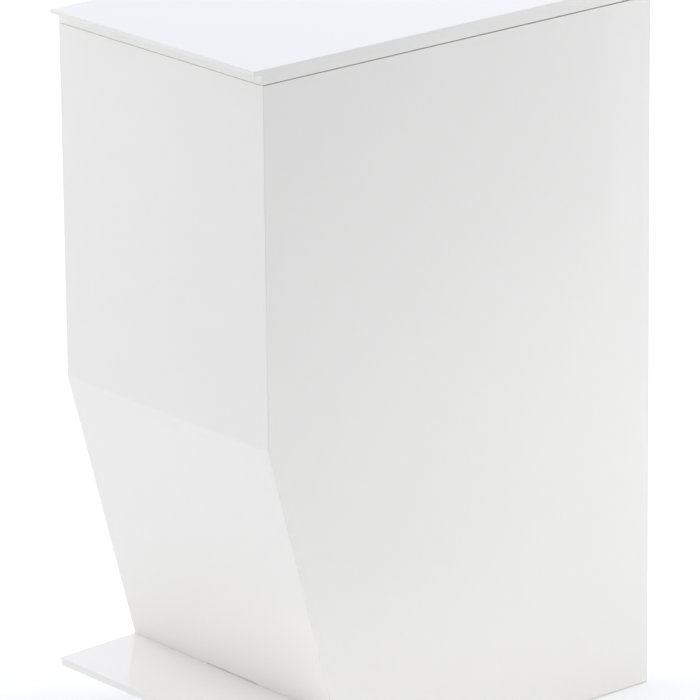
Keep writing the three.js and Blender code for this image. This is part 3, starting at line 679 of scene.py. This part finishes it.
def bucket():
    """A thin-walled moulding with a turned-down rim, a stiffening bead, a soft bend and a filleted floor."""
    low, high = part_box("inner_bucket")
    rim, wall, skirt, skirt_height = 6 * MM, 2.5 * MM, 2.2 * MM, 8 * MM
    fold = FOLD_CENTRE.y
    top = high.z - skirt_height
    edge_x, edge_front, edge_rear = high.x - rim, low.y + rim, high.y - rim
    floor_front = lean_y(low.z) + SHEET / math.cos(LEAN) + 8 * MM
    # Height, then half width, front, rear and corner radius of the wall there
    sections = [
        (low.z, (edge_x - 7 * MM, floor_front, edge_rear - 6 * MM, 18 * MM)),
        (fold, (edge_x - 3 * MM, edge_front + 2 * MM, edge_rear - 3 * MM, 20 * MM)),
        (top, (edge_x, edge_front, edge_rear, 22 * MM)),
    ]

    def ring(z, grow):
        """The wall's outline at a height, moved outwards."""
        for (z0, first), (z1, second) in zip(sections, sections[1:]):
            if z <= z1 or z1 == top:
                share = min(max((z - z0) / (z1 - z0), 0), 1)
                half, front, rear, radius = (a + (b - a) * share for a, b in zip(first, second))
                return rounded_ring(half + grow, front - grow, rear + grow, radius + grow, z)

    def fillet(z, radius, grow):
        """Rings from a flat floor round into the wall."""
        angles = [math.radians(angle) for angle in (0, 22, 45, 68, 90)]
        steps = [(radius - radius * math.cos(a), radius * math.sin(a) - radius) for a in angles]
        return [ring(z + up, grow + out) for up, out in steps]

    # Each (height, outward step) pair is one ring of the wall or of the lip.
    bead, lift = top - 38 * MM, 0.9 * MM
    heights = [(fold - 9 * MM, 0), (fold + 9 * MM, 0)]
    heights += [(bead, 0), (bead + 2 * MM, lift), (bead + 8 * MM, lift), (bead + 10 * MM, 0)]
    under = high.z - wall
    crest = 1.4 * MM
    lip = [(under, 0), (under, rim - skirt), (top, rim - skirt), (top, rim), (high.z - crest, rim)]
    lip += [(high.z - 0.3 * crest, rim - 0.3 * crest), (high.z, rim - crest), (high.z, crest - wall)]
    lip += [(high.z - 0.3 * crest, 0.3 * crest - wall), (high.z - crest, -wall)]
    floor_z = low.z + wall
    rings = fillet(low.z, 4 * MM, 0)
    rings += [ring(z, grow) for z, grow in heights + lip]
    rings += [ring(z, grow - wall) for z, grow in reversed(heights)]
    rings += reversed(fillet(floor_z, 6 * MM, -wall))
    rings += [ring(floor_z, -24 * MM), ring(floor_z + 0.8 * MM, -26 * MM)]
    show("inner_bucket", loft(rings), edge=0.25 * MM, segments=2)


front_panel()
side_panels()
boards()
feet()
bumpers()
lid()
hinges()
screws()
bushes_and_axle()
pedal_gear()
bucket()


# ---- stage, light and camera ----


def floor():
    surface = Surface("floor", Roughness=0.6, Emission_Color=(1, 1, 1, 1), Emission_Strength=0.04)
    cloud = surface.noise(0.8, detail=2)
    surface.feed("Base Color", surface.blend(cloud, (0.93, 0.93, 0.93), (0.94, 0.94, 0.94)))
    reach = 40
    corners = [(-reach, -reach, 0), (reach, -reach, 0), (reach, reach, 0), (-reach, reach, 0)]
    mesh = bpy.data.meshes.new("floor")
    mesh.from_pydata(corners, [], [(0, 1, 2, 3)])
    mesh.materials.append(surface.material)
    plane = bpy.data.objects.new("floor", mesh)
    bpy.context.scene.collection.objects.link(plane)


DAYLIGHT = (0.985, 0.995, 1.015)  # slightly cool, against the sheet's slightly warm white


def softbox(name, place, size, power, aim, spread=180):
    """A square soft light with a beam spread degrees wide, which the camera doesn't see as a panel."""
    data = bpy.data.lights.new(name, "AREA")
    data.shape, data.size, data.energy, data.color = "SQUARE", size, power, DAYLIGHT
    data.spread = math.radians(spread)
    lamp = bpy.data.objects.new(name, data)
    bpy.context.scene.collection.objects.link(lamp)
    lamp.location = place
    lamp.rotation_mode = "QUATERNION"
    lamp.rotation_quaternion = (Vector(aim) - Vector(place)).to_track_quat("-Z", "Y")
    lamp.visible_camera = False


def surroundings(even, *glows):
    """Even light from all round, and wide glows, each a (direction, narrowness, colour) set."""
    world = bpy.data.worlds.new("studio")
    world.use_nodes = True
    tree = world.node_tree

    def node(kind, operation, *inputs):
        made = tree.nodes.new(kind)
        made.operation = operation
        for socket, value in zip(made.inputs, inputs):
            if isinstance(value, bpy.types.NodeSocket):
                tree.links.new(value, socket)
            else:
                socket.default_value = value
        return made

    way = tree.nodes.new("ShaderNodeTexCoord").outputs["Generated"]
    colour = None
    for direction, narrowness, glow in glows:
        toward = Vector(direction).normalized()
        facing = node("ShaderNodeVectorMath", "DOT_PRODUCT", way, toward).outputs["Value"]
        ahead = node("ShaderNodeMath", "MAXIMUM", facing, 0.0).outputs[0]
        share = node("ShaderNodeMath", "POWER", ahead, narrowness).outputs[0]
        shine = node("ShaderNodeVectorMath", "SCALE", glow)
        tree.links.new(share, shine.inputs["Scale"])
        start = colour or even
        colour = node("ShaderNodeVectorMath", "ADD", shine.outputs["Vector"], start).outputs["Vector"]
    tree.links.new(colour, tree.nodes["Background"].inputs["Color"])
    bpy.context.scene.world = world


def lighting():
    """Bright behind the bin, with a large light on its left and low ones round its foot."""
    surroundings(
        [0.378 * part for part in DAYLIGHT],
        ((-0.74, 0.62, 0.25), 3.0, (0.573, 0.591, 0.731)),
        ((0.74, -0.62, 0.3), 2.0, (0.226, 0.229, 0.229)),
        ((-1, -0.25, 0.15), 2.0, (0.368, 0.370, 0.380)),
    )
    middle = (0, 0, 0.3)
    softbox("overhead", (0.2, 0.1, 3.2), 3.0, 12, middle)
    softbox("left", (-2.6, -0.8, 1.2), 2.0, 47.5, middle)
    softbox("rear_floor", (0.6, 1.3, 1.2), 1.0, 12.6, (0.6, 1.3, 0))
    softbox("far_floor", (-1.7, 1.4, 1.0), 1.2, 5, (-1.7, 1.4, 0), 110)
    softbox("right_floor", (0.75, 0.5, 0.45), 0.5, 0.62, (0.75, 0.5, 0))
    softbox("rear_low", (0.8, 1.3, 0.25), 0.8, 0.95, (0, 0.1, 0.2))
    softbox("corner_floor", (0.3, -0.36, 0.3), 0.2, 0.18, (0.3, -0.36, 0), 100)
    softbox("side_floor", (0.38, 0, 0.3), 0.25, 0.12, (0.38, 0, 0), 100)
    softbox("pedal_floor", (-0.38, -0.36, 0.3), 0.25, 0.06, (-0.38, -0.36, 0), 100)
    bpy.context.scene.view_settings.view_transform = "Standard"


def camera():
    data = bpy.data.cameras.new("camera")
    data.lens, data.sensor_width = CAMERA_LENS, 36
    data.clip_start, data.clip_end = 0.1, 100
    holder = bpy.data.objects.new("camera", data)
    bpy.context.scene.collection.objects.link(holder)
    level, up = math.cos(CAMERA_ELEVATION), math.sin(CAMERA_ELEVATION)
    back = Vector((math.sin(CAMERA_AZIMUTH) * level, -math.cos(CAMERA_AZIMUTH) * level, up))
    holder.location = CAMERA_PLACE
    holder.rotation_mode = "QUATERNION"
    holder.rotation_quaternion = (-back).to_track_quat("-Z", "Y") @ Quaternion((0, 0, 1), CAMERA_ROLL)
    bpy.context.scene.camera = holder


floor()
lighting()
camera()
